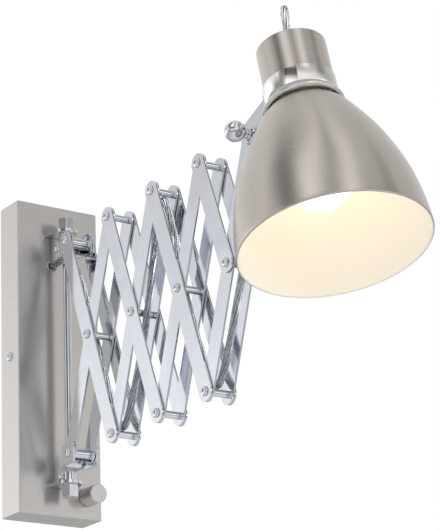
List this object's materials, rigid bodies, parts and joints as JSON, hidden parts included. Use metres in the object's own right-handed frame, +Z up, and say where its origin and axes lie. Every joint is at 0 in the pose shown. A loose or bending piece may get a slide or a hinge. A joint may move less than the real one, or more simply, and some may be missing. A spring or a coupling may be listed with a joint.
{
  "type": "scissor arm wall lamp",
  "caption": "Wall lamp with a slim steel wall box, an accordion scissor arm that swings and folds, and a tilting bell-shaped metal shade.",
  "frame": {"origin": "middle of the wall box, on the wall surface", "axes": "+X right as seen from the room, -Y out of the wall towards the room, +Z up"},
  "size_m": [0.169, 0.5693, 0.3895],
  "materials": {
    "brushed_box": "vertically brushed stainless steel",
    "zinc_plate": "plain zinc-plated steel",
    "chrome": "polished chrome plate",
    "chrome_bar": "polished chrome plate on flat steel bar",
    "polished_collar": "mirror-polished plate",
    "brushed_cap": "brushed nickel plate",
    "satin_shade": "satin nickel plate outside, pale lacquer inside",
    "holder_plastic": "white phenolic plastic",
    "bulb_metal": "plain aluminium screw cap",
    "opal_glass": "opal glass",
    "brushed_knob": "brushed aluminium",
    "black_plastic": "black moulded plastic",
    "cream_plastic": "cream moulded plastic",
    "clear_plastic": "clear plastic",
    "clear_cable": "clear sheath over twisted silver strands"
  },
  "bodies": {
    "wall_box": {"wall_plate": "zinc_plate", "housing": "brushed_box", "side_screws": "chrome", "rod_bracket_top": "zinc_plate", "rod_bracket_bottom": "zinc_plate", "pivot_rod": "chrome", "rod_nuts": "chrome", "stop_collar": "chrome", "stop_collar_screw": "chrome", "switch_body": "black_plastic", "terminal_block": "cream_plastic", "outlet_bush": "clear_plastic", "cable_feed": "clear_cable"},
    "switch_knob": {"switch_knob": "brushed_knob"},
    "top_clevis": {"top_clevis": "chrome", "top_clevis_screw": "chrome", "cable_first_bar": "clear_cable"},
    "bottom_clevis": {"bottom_clevis": "chrome"},
    "d1": {"bar_d1_left": "chrome_bar", "bar_d1_right": "chrome_bar", "cross_tubes_d1": "chrome", "pivot_screws_d1": "chrome", "cable_bend_b1": "clear_cable"},
    "u1": {"bar_u1_left": "chrome_bar", "bar_u1_right": "chrome_bar", "cross_tubes_u1": "chrome", "pivot_screws_u1": "chrome"},
    "d2": {"bar_d2_left": "chrome_bar", "bar_d2_right": "chrome_bar"},
    "u2": {"bar_u2_left": "chrome_bar", "bar_u2_right": "chrome_bar", "cross_tubes_u2": "chrome", "pivot_screws_u2": "chrome", "cable_bend_t2": "clear_cable"},
    "d3": {"bar_d3_left": "chrome_bar", "bar_d3_right": "chrome_bar", "cross_tubes_d3": "chrome", "pivot_screws_d3": "chrome", "cable_bend_b3": "clear_cable"},
    "u3": {"bar_u3_left": "chrome_bar", "bar_u3_right": "chrome_bar", "cross_tubes_u3": "chrome", "pivot_screws_u3": "chrome"},
    "d4": {"bar_d4_left": "chrome_bar", "bar_d4_right": "chrome_bar"},
    "u4": {"bar_u4_left": "chrome_bar", "bar_u4_right": "chrome_bar", "cross_tubes_u4": "chrome", "pivot_screws_u4": "chrome"},
    "head": {"head_bracket": "chrome", "neck_collar": "polished_collar", "lamp_cap": "brushed_cap", "cord_grip": "clear_plastic", "shade": "satin_shade", "lampholder": "holder_plastic", "shade_ring": "holder_plastic", "bulb_base": "bulb_metal", "bulb_glass": "opal_glass", "cable_head": "clear_cable"},
    "clamp_knob": {"clamp_knob": "chrome"}
  },
  "joints": [
    {"name": "swing", "type": "hinge", "parent": "wall_box", "child": "top_clevis", "pos_m": [0, -0.0515, 0], "axis": [0, 0, 1], "range_deg": [-75, 75], "deforming": ["cable_feed"]},
    {"name": "fold", "type": "hinge", "parent": "top_clevis", "child": "d1", "pos_m": [0, -0.0715, 0.1101], "axis": [-1, 0, 0], "range_deg": [-1.77, 42], "deforming": ["cable_first_bar"]},
    {"name": "cross_m1", "type": "hinge", "parent": "d1", "child": "u1", "pos_m": [0, -0.11084, 0.002], "axis": [-1, 0, 0], "range_deg": [-84.01, 3.55]},
    {"name": "lower_slide_pivot", "type": "hinge", "parent": "u1", "child": "bottom_clevis", "pos_m": [0, -0.0715, -0.1061], "axis": [-1, 0, 0], "range_deg": [-1.78, 42.01]},
    {"name": "bend_b1", "type": "hinge", "parent": "d1", "child": "u2", "pos_m": [0, -0.15019, -0.1061], "axis": [-1, 0, 0], "range_deg": [-84.01, 3.55], "deforming": ["cable_bend_b1"]},
    {"name": "cross_m2", "type": "hinge", "parent": "u2", "child": "d2", "pos_m": [0, -0.18954, 0.002], "axis": [-1, 0, 0], "range_deg": [-3.55, 84.01]},
    {"name": "bend_t2", "type": "hinge", "parent": "u2", "child": "d3", "pos_m": [0, -0.22888, 0.1101], "axis": [-1, 0, 0], "range_deg": [-3.55, 84.01], "deforming": ["cable_bend_t2"]},
    {"name": "cross_m3", "type": "hinge", "parent": "d3", "child": "u3", "pos_m": [0, -0.26823, 0.002], "axis": [-1, 0, 0], "range_deg": [-84.01, 3.55]},
    {"name": "bend_b3", "type": "hinge", "parent": "d3", "child": "u4", "pos_m": [0, -0.30757, -0.1061], "axis": [-1, 0, 0], "range_deg": [-84.01, 3.55], "deforming": ["cable_bend_b3"]},
    {"name": "cross_m4", "type": "hinge", "parent": "u4", "child": "d4", "pos_m": [0, -0.34692, 0.002], "axis": [-1, 0, 0], "range_deg": [-3.55, 84.01]},
    {"name": "head_tilt", "type": "hinge", "parent": "u4", "child": "head", "pos_m": [0, -0.38626, 0.1101], "axis": [-1, 0, 0], "range_deg": [-20, 75], "deforming": ["cable_head"]},
    {"name": "clamp_knob_turn", "type": "hinge", "parent": "u4", "child": "clamp_knob", "pos_m": [0, -0.38626, 0.1101], "axis": [-1, 0, 0], "range_deg": [-90, 180]},
    {"name": "switch_turn", "type": "hinge", "parent": "wall_box", "child": "switch_knob", "pos_m": [0.03, -0.034, -0.138], "axis": [0, -1, 0], "range_deg": [0, 270]}
  ],
  "couplings": [
    {"joint": "cross_m1", "follows": "fold", "ratio": -2},
    {"joint": "lower_slide_pivot", "follows": "fold", "ratio": 1},
    {"joint": "bend_b1", "follows": "fold", "ratio": -2},
    {"joint": "cross_m2", "follows": "fold", "ratio": 2},
    {"joint": "bend_t2", "follows": "fold", "ratio": 2},
    {"joint": "cross_m3", "follows": "fold", "ratio": -2},
    {"joint": "bend_b3", "follows": "fold", "ratio": -2},
    {"joint": "cross_m4", "follows": "fold", "ratio": 2}
  ]
}
